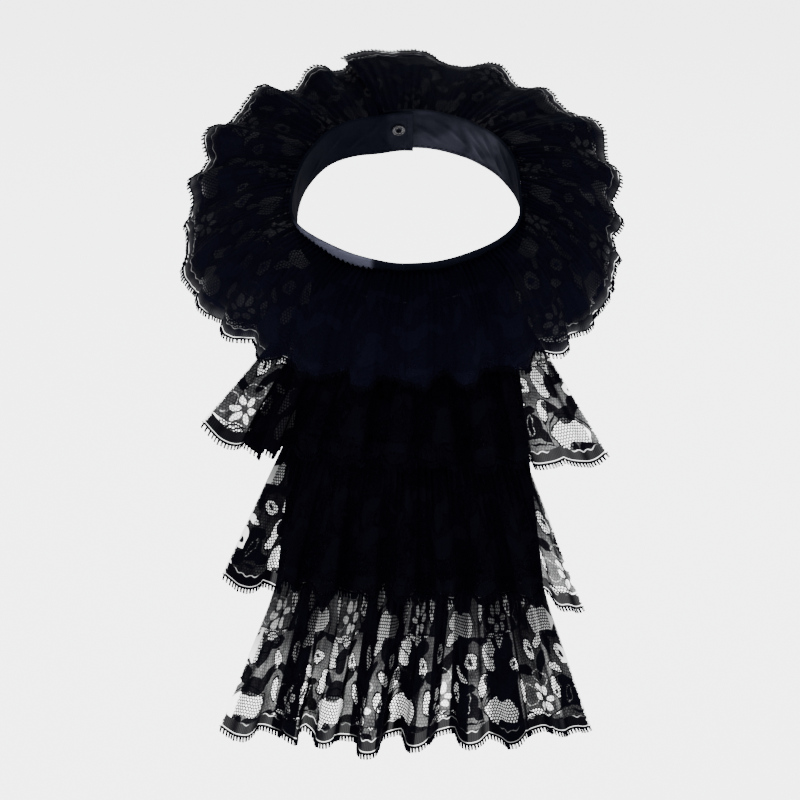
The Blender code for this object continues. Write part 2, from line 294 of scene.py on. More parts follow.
# angle round the neck in degrees, height and length in mm, slant in degrees, and depth
BAND_WRINKLES = (
    (176, 2, 16, 28, 0.5),
    (168, -3, 14, 34, 0.6),
    (160, 4, 18, 24, 0.5),
    (152, -1, 15, 38, 0.7),
    (145, 5, 12, 48, 0.6),
    (141, -5, 14, 42, 0.8),
    (134, 2, 16, 52, 0.9),
    (128, -3, 13, 58, 0.8),
    (122, 4, 15, 46, 0.7),
    (115, -4, 12, 62, 0.6),
    (106, 1, 16, 54, 0.5),
    (95, -3, 12, 40, 0.4),
    (80, 3, 14, 50, 0.4),
    (58, -2, 16, 36, 0.4),
    (36, 3, 13, 44, 0.4),
    (12, -3, 15, 30, 0.4),
    (-10, 4, 13, 150, 0.4),
    (-34, -2, 15, 142, 0.4),
    (-57, 3, 13, 138, 0.4),
    (-80, -3, 15, 150, 0.4),
    (-102, 2, 14, 145, 0.5),
    (-122, -4, 13, 152, 0.5),
    (-138, 3, 12, 148, 0.5),
    (-150, -2, 13, 140, 0.6),
    (-160, 5, 11, 128, 0.6),
    (-165, -5, 10, 60, 0.7),
    (-169, 6, 9, 112, 0.6),
    (-178, -7, 8, 108, 0.5),
)


def smooth_step(value):
    held = min(max(value, 0.0), 1.0)
    return held * held * (3 - 2 * held)


def mix(a, b, share):
    return a + (b - a) * share


def ring_point(angle, radius, height):
    """A point round the neck. The angle is 0 in front and grows towards +X."""
    around = SIDE * math.sin(angle) - BACK * math.cos(angle)
    return around * radius + NECK_UP * height


def nearness(angle, at, spread):
    """1 at a place round the neck that is given in degrees, and less to each side of it."""
    return math.exp(-(((math.degrees(angle) - at) / spread) ** 2))


def band_radius(angle):
    return BAND_RADIUS - LAP_STEP * smooth_step((LAP_START - angle) / (LAP_START - LAP_END))


def band_lean(angle, up):
    """How far out the band leans at its sides, where it is a little out of round."""
    lean = 0.0
    for at, spread, out in LEANING_SIDES:
        lean += out * MM * nearness(angle, at, spread)
    return lean * smooth_step(0.5 + up / BAND_HEIGHT)


def band_lift(angle):
    """The inner end sits a little higher than the rest of the band."""
    return LAP_LIFT * smooth_step((LIFT_START - angle) / (LIFT_START - LIFT_END))


def wrinkle_height(angle, height):
    """How far the wrinkles lift the band's inner face."""
    lift = 0.0
    for at, up, length, slant, depth in BAND_WRINKLES:
        x = math.radians(math.degrees(angle) - at) * BAND_RADIUS / MM
        if abs(x) > length:
            continue
        y = height / MM - up
        turn = math.radians(slant)
        along = x * math.cos(turn) + y * math.sin(turn)
        across = -x * math.sin(turn) + y * math.cos(turn)
        ridge = math.exp(-((across / RIDGE_WIDTH) ** 2))
        ridge -= HOLLOW_SHARE * math.exp(-(((across - HOLLOW_PLACE) / HOLLOW_WIDTH) ** 2))
        lift += depth * ridge * math.exp(-((along / (0.45 * length)) ** 4))
    return lift * WRINKLE_RELIEF


ROW_MARGIN = 0.01  # between the rows of a folded strip on its square
SIDE_MARGIN = 0.004
STEEPEST = 0.16  # cloth on a fold's side counts as turned towards us at least this much


def cloth_grid(columns, rows, bake_rows, flat, place, facing=None, doubled=None):
    """A sheet from a flat grid: its flat size goes in a UV map, then each point is placed.

    The functions take the shares across and down the cloth. The second UV map folds a long
    strip into rows on a square. Where facing gives the way that the cloth would face without
    its folds, each point keeps how much a fold's side, or cloth folded under, crowds it, and
    how far it is from the strip's nearer end in mm.
    """
    made = bmesh.new()
    bmesh.ops.create_grid(made, x_segments=columns, y_segments=rows, size=0.5)
    cloth = made.loops.layers.uv.new("Cloth")
    folded = made.loops.layers.uv.new("OFBake")
    for face in made.faces:
        strip = int((face.calc_center_median().x + 0.5) * bake_rows)
        for loop in face.loops:
            across = loop.vert.co.x + 0.5
            down = 0.5 - loop.vert.co.y
            loop[cloth].uv = flat(across, down)
            along_row = mix(SIDE_MARGIN, 1 - SIDE_MARGIN, across * bake_rows - strip)
            down_row = mix(ROW_MARGIN, 1 - ROW_MARGIN, down)
            loop[folded].uv = (along_row, (strip + down_row) / bake_rows)
    spots = [(point.co.x + 0.5, 0.5 - point.co.y) for point in made.verts]
    for point, spot in zip(made.verts, spots):
        point.co = place(*spot)
    if facing:
        made.normal_update()
        crowding = made.verts.layers.float.new("crowding")
        from_end = made.verts.layers.float.new("from_end")
        for point, spot in zip(made.verts, spots):
            point[crowding] = 1 / max(abs(point.normal.dot(facing(*spot))), STEEPEST) - 1
            if doubled:
                point[crowding] += doubled(spot[0])
            place_along = flat(*spot)[0]
            ends = (place_along - flat(0, spot[1])[0], flat(1, spot[1])[0] - place_along)
            point[from_end] = min(ends) / MM
    return made


def dressed(mesh, name, look):
    """A finished mesh as a piece in its material."""
    mesh.name = name
    mesh.shade_smooth()
    mesh.materials.clear()
    mesh.materials.append(look.material)
    piece = placed(name, mesh)
    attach(piece, "root")
    return piece


def piece_from(made, name, look):
    mesh = bpy.data.meshes.new(name)
    made.to_mesh(mesh)
    made.free()
    return dressed(mesh, name, look)


def band_outline(share):
    """Round the band's cross-section: out from its middle and up, and 1 on the inner face."""
    half = BAND_HEIGHT / 2
    thick = BAND_WALL / 2
    step = share * BAND_STEPS
    if step <= BAND_FACE_STEPS:
        return thick, mix(-half + thick, half - thick, step / BAND_FACE_STEPS), 0.0
    step -= BAND_FACE_STEPS
    if step <= BAND_EDGE_STEPS:
        turn = math.pi * step / BAND_EDGE_STEPS
        return thick * math.cos(turn), half - thick + thick * math.sin(turn), 0.0
    step -= BAND_EDGE_STEPS
    if step <= BAND_FACE_STEPS:
        up = mix(half - thick, -half + thick, step / BAND_FACE_STEPS)
        return -thick, up, smooth_step((half - abs(up)) / WRINKLE_EDGE)
    step -= BAND_FACE_STEPS
    turn = math.pi * step / BAND_EDGE_STEPS
    return -thick * math.cos(turn), -half + thick - thick * math.sin(turn), 0.0


def bent_height(angle, up):
    """Where a height on the band comes to lie, with its edges bent and its inner end higher."""
    to_edge = (2 * up / BAND_HEIGHT) ** 2
    bent = up + band_lift(angle)
    for at, spread, pressed, turned_up in BENT_EDGES:
        moved = (-pressed if up > 0 else turned_up) * MM
        bent += nearness(angle, at, spread) * to_edge * moved
    return bent


def band_place(across, down):
    angle = mix(INNER_END, OUTER_END, across)
    out, up, inside = band_outline(down)
    if inside:
        out -= inside * wrinkle_height(angle, up)
    ripple = noise.noise(Vector((across * 26, 0.3, 0))) * BAND_RIPPLE
    radius = band_radius(angle) + band_lean(angle, up) + out
    return ring_point(angle, radius, bent_height(angle, up) + ripple)


def band_flat(across, down):
    length = (OUTER_END - INNER_END) * BAND_RADIUS
    return across * length, down * 2 * (BAND_HEIGHT + BAND_WALL)


def threads(name, paths, radius, look, slot):
    """Round threads along their paths, as one piece."""
    line = bpy.data.curves.new(name, "CURVE")
    line.dimensions = "3D"
    line.bevel_depth = radius
    line.bevel_resolution = 0
    line.use_fill_caps = True
    for path in paths:
        spline = line.splines.new("POLY")
        spline.points.add(len(path) - 1)
        for point, place in zip(spline.points, path):
            point.co = (*place, 1)
    holder = placed(name + "_line", line)
    mesh = bpy.data.meshes.new_from_object(holder)
    bpy.data.objects.remove(holder)
    bpy.data.curves.remove(line)
    piece = dressed(mesh, name, look)
    return piece


def stitches(points):
    """Short threads along a line of close points, with a space after each."""
    row = []
    walked = 0.0
    for low, high in zip(points, points[1:]):
        if walked == 0:
            row.append([low])
        walked += (high - low).length
        if walked < STITCH:
            row[-1].append(high)
        elif walked > STITCH + STITCH_SPACE:
            walked = 0.0
    return [path for path in row if len(path) > 2]


def satin_look(name, painted_sheen_patches=()):
    """Black satin, with parts painted paler as sheen where light falls on it.

    Each paler part is given in mm by its ends along the cloth and up it, and by how pale it is.
    """
    look = Look(name, Specular_IOR_Level=0.0, Coat_IOR=1.25, Coat_Roughness=0.34)
    across, up = look.flat_cloth()
    place = look.add("ShaderNodeCombineXYZ", {}, {0: across, 1: up})
    soft = look.add("ShaderNodeTexNoise", {}, {"Vector": place, "Scale": 0.06, "Detail": 3.0})
    swirl = {"Vector": place, "Scale": 0.075, "Detail": 1.0, "Distortion": 0.7}
    # painted sheen: swirly streaks within the paler parts, standing in for light caught by the
    # satin
    streaky_painted_highlight = look.add("ShaderNodeTexNoise", {}, swirl).ramp(0.30, 0.70) * 1.1 + 0.45
    fine = look.add("ShaderNodeTexNoise", {}, {"Vector": place, "Scale": 0.9, "Detail": 2.0})
    weave = (across * 14.0).sine() * 0.5 + (up * 9.0).sine() * 0.5
    # the soft noise varies the satin's tone at random; the listed parts add painted highlights,
    # which also raise the coat
    random_tone_and_painted_sheen = soft * 0.05
    for left, right, low, high, share in painted_sheen_patches:
        part = across.above(left, 8.0) * (1 - across.above(right, 3.0)) * share
        random_tone_and_painted_sheen = random_tone_and_painted_sheen + part * up.above(low, 3.0) * (1 - up.above(high, 3.0)) * streaky_painted_highlight
    # the base colour runs from the satin's own black to the blue-grey of a painted highlight
    look.feed(
        Base_Color=look.between((0.0014, 0.0017, 0.0040), (0.0500, 0.0520, 0.0760), random_tone_and_painted_sheen),
        Coat_Weight=random_tone_and_painted_sheen * 0.30 + 0.006,
        Roughness=soft * 0.16 + fine * 0.10 + 0.30,
        Normal=look.raised(soft * 1.2 + fine * 0.25 + weave * 0.03, 0.0012, 0.9),
    )
    return look


made = cloth_grid(BAND_COLUMNS, BAND_STEPS, 5, band_flat, band_place)
bmesh.ops.remove_doubles(made, verts=made.verts, dist=0.000001)
bmesh.ops.holes_fill(made, edges=made.edges)
bmesh.ops.recalc_face_normals(made, faces=made.faces)
# the neckband's satin carries the painted sheen
satin = satin_look("black satin", painted_sheen_patches=PAINTED_SATIN_SHEEN)
neckband = piece_from(made, "satin_neckband", satin)
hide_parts("neckband")

thread_look = Look("black thread", Roughness=0.8, IOR=1.03)
twist = thread_look.add("ShaderNodeTexNoise", {}, {"Scale": 2500.0, "Detail": 1.0})
thread_look.feed(
    Base_Color=thread_look.between((0.0004, 0.0004, 0.0010), (0.0020, 0.0020, 0.0042), twist),
    Normal=thread_look.raised(twist, 0.0001, 0.7),
)

rows = []
for side in (1, -1):
    out = side * (BAND_WALL + SEWN_THREAD) / 2
    seam = []
    for k in range(BAND_SEAM_STEPS + 1):
        across = mix(BAND_SEAM_MARGIN, 1 - BAND_SEAM_MARGIN, k / BAND_SEAM_STEPS)
        angle = mix(INNER_END, OUTER_END, across)
        up = BAND_SEAM - BAND_HEIGHT / 2
        radius = band_radius(angle) + band_lean(angle, up) + out
        seam.append(ring_point(angle, radius, bent_height(angle, up)))
    rows += stitches(seam)
    for across in (BAND_END_SEAM, 1 - BAND_END_SEAM):
        angle = mix(INNER_END, OUTER_END, across)
        end = []
        for k in range(-BAND_END_SEAM_STEPS, BAND_END_SEAM_STEPS + 1):
            up = band_lift(angle) + k * BAND_END_SEAM_STEP
            end.append(ring_point(angle, band_radius(angle) + out, up))
        rows += stitches(end)
band_stitches = threads("band_stitches", rows, SEWN_THREAD, thread_look, "neckband")


# ---- Snap
# A small press snap of black enamelled metal. The ring's prongs grip the inner end of the
# band, and the disc's half sits between the two ends.

SNAP_ANGLE = math.radians(-173.9)
SNAP_HEIGHT = 0.0026
SNAP_GAP = 0.0003
SNAP_THICKNESS = 0.0010

enamel = Look("black enamelled metal", Metallic=0.35, IOR=1.3, Coat_Roughness=0.2)
place = enamel.add("ShaderNodeTexCoord", output=3)
specks = enamel.add("ShaderNodeTexNoise", {}, {"Vector": place, "Scale": 1800.0, "Detail": 3.0})
rubbed = specks.above(0.62, 0.05)
enamel.feed(
    Base_Color=enamel.between((0.010, 0.010, 0.014), (0.12, 0.115, 0.11), rubbed),
    Roughness=specks * 0.2 + 0.18,
    Normal=enamel.raised(specks, 0.00008, 0.6),
)

# out from the ring's middle and along its axis, in mm
RING_PROFILE = (
    (1.50, 0.30),
    (1.62, 0.45),
    (1.85, 0.30),
    (2.30, -0.05),
    (2.75, 0.10),
    (3.10, 0.36),
    (3.36, 0.30),
    (3.48, -0.05),
    (3.45, -0.42),
    (3.20, -0.50),
    (1.70, -0.50),
    (1.50, -0.35),
)

axis = -ring_point(SNAP_ANGLE, 1, 0).normalized()
inner_face = BAND_RADIUS - LAP_STEP - BAND_WALL / 2
out = inner_face - SNAP_GAP - SNAP_THICKNESS / 2
centre = ring_point(SNAP_ANGLE, out, SNAP_HEIGHT + band_lift(SNAP_ANGLE))
made = bmesh.new()
corners = [made.verts.new(centre + NECK_UP * out * MM + axis * up * MM) for out, up in RING_PROFILE]
edges = [made.edges.new((a, b)) for a, b in zip(corners, corners[1:] + corners[:1])]
bmesh.ops.spin(
    made, geom=corners + edges, cent=centre, axis=axis, angle=2 * math.pi, steps=48, use_merge=True
)
bmesh.ops.remove_doubles(made, verts=made.verts, dist=0.000001)
bmesh.ops.recalc_face_normals(made, faces=made.faces)
snap_ring = piece_from(made, "snap_ring_turned", enamel)
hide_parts("snap_ring")
for holder in bpy.data.objects["snap_disc"].material_slots:
    holder.material = enamel.material


# ---- Lace ruff
# One strip of scalloped lace edging, gathered on to the band's outer face just below its top
# edge. It stands off behind and falls over in front, in flutes that open towards its rim.

SCALLOP = 0.0240
SCALLOP_DEPTH = 0.0035
SCALLOP_START = 0.8  # the hem's scallops lengthen only the lowest fifth of the lace
LACE_WALL = 0.0010
SEAM_GAP = 0.0003
RUFF_SLACK = 0.0002
RUFF_SEAM_HEIGHT = 0.0085
RUFF_COLUMNS_PER_SCALLOP = 24
RUFF_ROWS = 26
RUFF_SEAM_ENDS = (math.radians(-166.9), math.radians(194.2))
RUFF_RIM_ENDS = (-171, 197)  # in degrees, as the crests are
RUFF_END_PARTING = 0.0010
RUFF_PARTING_LENGTH = math.radians(22)
RUFF_RIM_RADIUS = 0.1120
FOLD_REACH = 0.35  # a fold swells towards the next turn by this share of the way to it
RUFF_PULL = 0.40  # and by this share of its height
RUFF_GROWTH = 0.8  # the folds grow towards the rim by this power of the way down
RUFF_WIDTH = 0.0640
RUFF_SEAM_CLOSER = 0.0015  # thin cloth lies closer to the band than the solid's wall
RUFF_SEAM_STEPS = 3000
RUFF_SEAM_DOWN = 0.045  # the seam's stitches lie this share of the way down the lace
RUFF_SEAM_PROUD = 0.0003
RUFF_SLIP = 0.0024  # in front on the left, the gathers sit lower and bare more satin
RUFF_SLIP_ANGLE = -33
RUFF_SLIP_SPREAD = 15
RUFF_GATHERS_PER_SCALLOP = 4
RUFF_GATHER_AT_SEAM = 0.0023
RUFF_GATHER_AT_RIM = 0.0006
GATHER_SUNK = 0.0004
RUFF_RIPPLE = 0.0022

# angle, droop at the seam and at the rim in degrees, and the fall's length in mm
RUFF_LIE = (
    (-180, 0, 26, 66),
    (-135, 2, 30, 69),
    (-90, 16, 56, 68),
    (-45, 2, 78, 64),
    (0, -12, 86, 60),
    (45, 0, 80, 62),
    (90, 18, 60, 65),
    (135, 2, 32, 66),
    (180, 0, 26, 66),
)

# angle of each crest, its height and the depth of the hollow before it in mm
RUFF_CRESTS = (
    (-157, 4, 0.5),
    (-141, 4.5, 3.5),
    (-123, 4, 3.5),
    (-109, 2.5, 2.5),
    (-96, 2, 2),
    (-82, 2.5, 1.5),
    (-69, 1.5, 2),
    (-56, 2.5, 1.5),
    (-42, 3, 2.5),
    (-28, 4.5, 3.5),
    (-13, 5.5, 4.5),
    (2, 5, 5),
    (16, 5.5, 4.5),
    (31, 4.5, 5),
    (45, 3, 3.5),
    (58, 2, 2.5),
    (72, 2.5, 1.5),
    (85, 1.5, 2),
    (99, 3, 2),
    (112, 2, 2),
    (127, 3.5, 2),
    (143, 3, 3),
    (159, 4, 2.5),
    (177, 4, 3),
)
RUFF_BACK_CREST = 4  # of the lapped ends, and the angle to which the left one keeps it
RUFF_BACK_CREST_END = -167


def from_table(table, at, column):
    for low, high in zip(table, table[1:]):
        if at <= high[0]:
            share = smooth_step((at - low[0]) / (high[0] - low[0]))
            return mix(low[column], high[column], share)
    return table[-1][column]


def fold_line(turns, pull):
    """A smooth line through the turns of a row of folds, as close points."""
    steps = 24
    points = []
    for low, high in zip(turns, turns[1:]):
        reach = FOLD_REACH * (high[0] - low[0]) + pull * abs(high[1] - low[1])
        for step in range(steps):
            t = step / steps
            s = 1 - t
            along = s**3 * low[0] + 3 * s * s * t * (low[0] + reach)
            along += 3 * s * t * t * (high[0] - reach) + t**3 * high[0]
            rest = [mix(a, b, smooth_step(t)) for a, b in zip(low[1:], high[1:])]
            points.append((along, *rest))
    points.append(tuple(turns[-1]))
    return points


def cloth_length(points):
    return sum(math.dist(a[:2], b[:2]) for a, b in zip(points, points[1:]))


def evenly(points, count):
    lengths = [0.0]
    for low, high in zip(points, points[1:]):
        lengths.append(lengths[-1] + math.dist(low[:2], high[:2]))
    even = []
    spot = 0
    for k in range(count + 1):
        wanted = lengths[-1] * k / count
        while spot < len(points) - 2 and lengths[spot + 1] < wanted:
            spot += 1
        share = (wanted - lengths[spot]) / (lengths[spot + 1] - lengths[spot])
        even.append([mix(a, b, share) for a, b in zip(points[spot], points[spot + 1])])
    return even


def scallop_drop(scallops, down):
    """How far the hem's scallops lengthen the cloth at a place."""
    share = smooth_step((down - SCALLOP_START) / (1 - SCALLOP_START))
    return SCALLOP_DEPTH * abs(math.sin(math.pi * scallops)) * share


def gather(scallops, per_scallop, seed):
    """A fine gather's height from 0 to 1, a little uneven along the seam."""
    shift = noise.noise(Vector((scallops * 1.3, seed, 0))) * 2.4
    size = 0.7 + 0.5 * noise.noise(Vector((scallops * 2.1, seed, 5)))
    return size * (0.5 + 0.5 * math.sin(2 * math.pi * (scallops * per_scallop) + shift))


def ruff_turns():
    left, right = RUFF_RIM_ENDS
    turns = [(left, RUFF_BACK_CREST), (RUFF_BACK_CREST_END, RUFF_BACK_CREST)]
    for angle, crest, hollow in RUFF_CRESTS:
        turns.append(((turns[-1][0] + angle) / 2, -hollow))
        turns.append((angle, crest))
    turns.append((right, RUFF_BACK_CREST))
    return turns


def ruff_profile(angle, share, drop):
    """How far out and how high a ruff's point is from its seam, and its droop there."""
    facing = (math.degrees(angle) + 180) % 360 - 180
    start = math.radians(from_table(RUFF_LIE, facing, 1))
    end = math.radians(from_table(RUFF_LIE, facing, 2))
    width = from_table(RUFF_LIE, facing, 3) * MM + drop
    steps = 8
    out = 0.0
    height = 0.0
    for step in range(steps):
        droop = mix(start, end, share * (step + 0.5) / steps)
        out += math.cos(droop) * width * share / steps
        height -= math.sin(droop) * width * share / steps
    return out, height, mix(start, end, share)


def end_share(angle):
    """From -1 at the strip's left end, through 0 over most of it, to 1 at its right end."""
    left, right = RUFF_SEAM_ENDS
    before = smooth_step(1 - (angle - left) / RUFF_PARTING_LENGTH)
    after = smooth_step(1 - (right - angle) / RUFF_PARTING_LENGTH)
    return after - before


rim_turns = [(math.radians(angle) * RUFF_RIM_RADIUS, high * MM) for angle, high in ruff_turns()]
rim_line = fold_line(rim_turns, RUFF_PULL)
ruff_scallops = round(cloth_length(rim_line) / SCALLOP)
ruff_columns = ruff_scallops * RUFF_COLUMNS_PER_SCALLOP
rim_folds = evenly(rim_line, ruff_columns)


def ruff_flat(across, down):
    drop = scallop_drop(across * ruff_scallops, down)
    return across * ruff_scallops * SCALLOP, RUFF_WIDTH * (1 - down) - drop


def ruff_turn(across, down):
    """The angle round the neck at a place on the ruff."""
    along, _ = rim_folds[round(across * ruff_columns)]
    return mix(mix(*RUFF_SEAM_ENDS, across), along / RUFF_RIM_RADIUS, down**RUFF_GROWTH)


def ruff_facing(across, down):
    angle = ruff_turn(across, down)
    _, _, droop = ruff_profile(angle, down, 0)
    return ring_point(angle, math.sin(droop), math.cos(droop))


def ruff_place(across, down):
    _, out = rim_folds[round(across * ruff_columns)]
    scallops = across * ruff_scallops
    seam_angle = mix(*RUFF_SEAM_ENDS, across)
    angle = ruff_turn(across, down)
    reach, height, droop = ruff_profile(angle, down, scallop_drop(scallops, down))
    radius = band_radius(seam_angle) + (BAND_WALL + LACE_WALL) / 2 + SEAM_GAP + RUFF_SLACK + reach
    radius += band_lean(seam_angle, RUFF_SEAM_HEIGHT)
    radius -= RUFF_SEAM_CLOSER * (1 - smooth_step(down * 12))
    slip = nearness(angle, RUFF_SLIP_ANGLE, RUFF_SLIP_SPREAD)
    height -= RUFF_SLIP * slip * (1 - smooth_step(down * 3))
    point = ring_point(angle, radius, RUFF_SEAM_HEIGHT + height)
    facing = ring_point(angle, math.sin(droop), math.cos(droop))
    lift = out * down**RUFF_GROWTH
    lift += RUFF_END_PARTING * end_share(seam_angle) * mix(0.5, 1, smooth_step(down * 4))
    fine = mix(RUFF_GATHER_AT_SEAM, RUFF_GATHER_AT_RIM, down**0.7)
    lift += gather(scallops, RUFF_GATHERS_PER_SCALLOP, 1.5) * fine - GATHER_SUNK
    lift += noise.noise(Vector((scallops * 0.9, down * 2.5, 3))) * RUFF_RIPPLE * down
    return point + facing * lift


# The lace's repeat in mm: across, up, and how far each row of repeats is moved on
REPEAT = 80.0
REPEAT_UP = 42.0
REPEAT_SHIFT = 31.0
WOBBLE = 7.0  # how far the motif strays from its drawing
BORDER = 6.6  # the border's height
NET_CELL = 1.70
CORD_HALF = 0.30  # half widths of the corded and the open lines
OPEN_HALF = 0.26
LINE_BLUR = 0.12
EDGE_BLUR = 0.16
# The border's lines, from and to above the hem, and the spaces of its wave and its ribs
OPEN_LINE = (0.85, 1.2)
FINE_LINE = (5.8, 6.3)
FINE_WAVE = 5.3
RIB_SPACE = 0.95

# In mm from the repeat's corner: across, up, half width, half height, and turn in degrees.
# Open net in the woven ground, each with a corded edge
NET_SHAPES = (
    (58, 5, 11.5, 8.0, 0),
    (25, 13, 3.2, 5.8, 20),
    (46, 18, 4.2, 7.4, -24),
    (8, 31, 4.4, 5.6, 10),
    (37, 30, 5.2, 3.6, -20),
    (51, 33, 4.6, 8.4, 14),
    (72, 27, 3.4, 5.4, 30),
    (20, 39, 6.6, 2.9, 40),
    (64, 38, 6.4, 2.8, -18),
    (77, 11, 2.4, 6.2, 12),
    (28, 23, 6.0, 2.4, -22),
)
# Dense petals and leaves
DENSE_SHAPES = (
    (34, 9, 7.0, 6.6, 0),
    (29, 4, 4.6, 3.4, 30),
    (41, 5, 4.8, 3.4, -30),
    (34, 16, 5.6, 3.4, 8),
    (60, 15, 8.4, 4.8, 8),
    (69, 20, 6.2, 3.4, 40),
    (51, 20, 5.0, 3.0, -35),
    (17, 26, 7.6, 2.8, 62),
    (26, 36, 7.0, 2.8, 112),
    (59, 30, 4.2, 6.8, -15),
    (68, 36, 6.8, 3.6, 20),
    (34, 40, 6.4, 2.6, 15),
    (1, 21, 7.2, 2.8, -25),
    (44, 40, 5.6, 2.6, -8),
    (8, 31, 1.6, 2.1, 40),
    (37, 30, 2.0, 1.1, -30),
    (25, 12, 1.1, 1.8, 15),
    (72, 28, 1.1, 1.5, 0),
)
# Corded lines alone
CORDS = (
    (58, 2, 13.4, 13.6, 0),
    (34, 9, 10.4, 9.8, 0),
)
# Thin open lines that part the petals
OPEN_LINES = (
    (34, 9, 5.2, 1.8, 62),
    (13, 19, 6.4, 3.6, 8),
    (3, 8, 4.4, 6.0, 0),
)
# The flower's middle, and its six open petals: how far out, half length, half width, and turn
FLOWER = (13, 8)
FLOWER_REACH = 5.2
PETAL = (2.6, 1.8)
FLOWER_TURN = 12


def lace_look(name, layers_start, layers_end, more_layers, tint, closed):
    """Black lace. Its opacity is the share of light stopped by its threads.

    Near its seam the strip is gathered, so that light passes several layers of it. Their
    number grows by more_layers between two heights above the hem, in mm. Closed is roughly
    the share of the hem's open line that has drawn shut.
    """
    look = Look(name, Roughness=0.85, IOR=1.05, Specular_Tint=(0.70, 0.74, 1.0, 1))
    flat_u, flat_y = look.flat_cloth()
    place = look.add("ShaderNodeCombineXYZ", {}, {0: flat_u, 1: flat_y})
    wide = {"Vector": place, "Scale": 0.10, "Detail": 1.5}
    wobble = look.add("ShaderNodeTexNoise", {}, wide, output=1)
    bend = {0: wobble, 1: (WOBBLE, WOBBLE, 0.0), 2: place}
    bent = look.add("ShaderNodeVectorMath", {"operation": "MULTIPLY_ADD"}, bend)
    across, up = look.split(bent)
    up = up - (BORDER + WOBBLE / 2)
    row = (up / REPEAT_UP).floor()
    across = across - WOBBLE / 2 + row * REPEAT_SHIFT
    corners = {}
    for right in (0, 1):
        for above in (0, 1):
            x = (across - REPEAT / 2 * right).over(REPEAT)
            y = (up - REPEAT_UP / 2 * above).over(REPEAT_UP)
            corners[right, above] = look.add("ShaderNodeCombineXYZ", {}, {0: x, 1: y})

    def reach(shape):
        """How far from a shape's middle, as a share of the way to its edge."""
        x, y, half_width, half_height, turn = shape
        right = round(2 * x / REPEAT) % 2
        above = round(2 * y / REPEAT_UP) % 2
        x -= REPEAT * round(2 * x / REPEAT) / 2
        y -= REPEAT_UP * round(2 * y / REPEAT_UP) / 2
        sockets = {
            "Vector": corners[right, above],
            "Location": (x, y, 0),
            "Rotation": (0, 0, math.radians(turn)),
            "Scale": (half_width, half_height, 1),
        }
        moved = look.add("ShaderNodeMapping", {"vector_type": "TEXTURE"}, sockets)
        return look.add("ShaderNodeVectorMath", {"operation": "LENGTH"}, {0: moved}, output=1)

    def filled(shapes):
        joined = None
        for shape in shapes:
            soft = EDGE_BLUR / min(shape[2:4])
            one = reach(shape).ramp(1 + soft, 1 - soft)
            joined = joined.higher(one) if joined else one
        return joined

    def lines(shapes, half):
        joined = None
        for shape in shapes:
            size = min(shape[2:4])
            ends = ((half + LINE_BLUR) / size, (half - LINE_BLUR) / size)
            one = (reach(shape) - 1).size().ramp(*ends)
            joined = joined.higher(one) if joined else one
        return joined

    # Hexagonal net
    wave = 4 * math.pi / math.sqrt(3) / NET_CELL
    cell = (flat_y * wave).cosine()
    for turn in (30, 150):
        slant = flat_u * (wave * math.cos(math.radians(turn)))
        cell = cell + (slant + flat_y * (wave * math.sin(math.radians(turn)))).cosine()
    net = (cell * -1).above(0.0, 0.40)

    x, y = FLOWER
    petals = []
    for turn in range(FLOWER_TURN, 360, 60):
        at_x = x + FLOWER_REACH * math.cos(math.radians(turn))
        at_y = y + FLOWER_REACH * math.sin(math.radians(turn))
        petals.append((at_x, at_y, *PETAL, turn))
    flower = filled(petals)
    cloth = 1 - filled(NET_SHAPES).higher(flower)
    dense = filled(DENSE_SHAPES)
    cords = lines(CORDS + NET_SHAPES, CORD_HALF)
    fuzz = look.add("ShaderNodeTexNoise", {}, {"Vector": place, "Scale": 0.8, "Detail": 2.0})
    open_lines = lines(OPEN_LINES, OPEN_HALF) * fuzz.above(0.47, 0.10)
    cords = cords * (1 - open_lines)
    dense = dense * (1 - open_lines * 0.6)
    cloth = cloth * (1 - open_lines * 0.4)

    # Border: an open line, a woven band and another, finer open line along the scallops
    curve = (flat_u * (math.pi / (SCALLOP / MM))).sine().size() * (SCALLOP_DEPTH / MM)
    inside = flat_y + curve
    waved = inside - (flat_u * (2 * math.pi / FINE_WAVE)).sine() * 0.5
    open_line = inside.above(OPEN_LINE[0], 0.1) * (1 - inside.above(OPEN_LINE[1], 0.1))
    fine_line = waved.above(FINE_LINE[0]) * (1 - waved.above(FINE_LINE[1]))
    ribs = (flat_u * (2 * math.pi / RIB_SPACE)).cosine() * 0.006
    in_body = inside.above(BORDER)
    patches = look.add("ShaderNodeTexNoise", {}, {"Vector": place, "Scale": 0.045, "Detail": 2.0})
    open_line = open_line * patches.above(closed, 0.04)
    fine_line = fine_line * patches.above(0.50, 0.04)
    border = (0.016 + ribs) + open_line * 0.80 + fine_line * 0.55

    # How much light comes through the body, between its threads
    ground = fuzz * 0.14 + patches * 0.26 + 0.71
    through = (1 - net * (0.97 - cloth * 0.49 - flower * 0.42)) * (1 - cloth * ground.lower(0.98))
    through = through * (1 - dense * (fuzz * 0.05 + 0.935)) * (1 - cords * 0.985)
    through = border * (1 - in_body) + through * in_body

    # At the cut ends the net is trimmed away round the woven parts
    cut = look.add("ShaderNodeAttribute", {"attribute_name": "from_end"}, output=2)
    trimmed = (1 - cut.ramp(4.0, 5.0)) * (1 - cloth) * (1 - dense) * in_body
    trimmed = trimmed.higher(1 - (cut + fuzz * 3.0).above(2.2))
    through = through.higher(trimmed)

    fold = look.add("ShaderNodeAttribute", {"attribute_name": "crowding"}, output=2)
    layers = inside.ramp(layers_start, layers_end, more_layers) * (patches * 0.7 + 0.65)
    behind = (layers * -0.5 - fold * 0.45).sum("EXPONENT")
    through = through.power(fold * 0.6 + 1)
    look.feed(
        Base_Color=look.between(tint[0], tint[1], dense * 0.25 + fuzz * 0.6),
        Alpha=1 - through * behind,
        Normal=look.raised(fuzz, 0.0003, 0.9),
    )
    return look


PICOTS_PER_SCALLOP = 14
PICOT_WIDTH = 0.00070
PICOT_LENGTH = 0.0024
PICOT_THREAD = 0.00036
PICOT_SLANT = 0.2
CORD_STEPS_PER_SCALLOP = 16


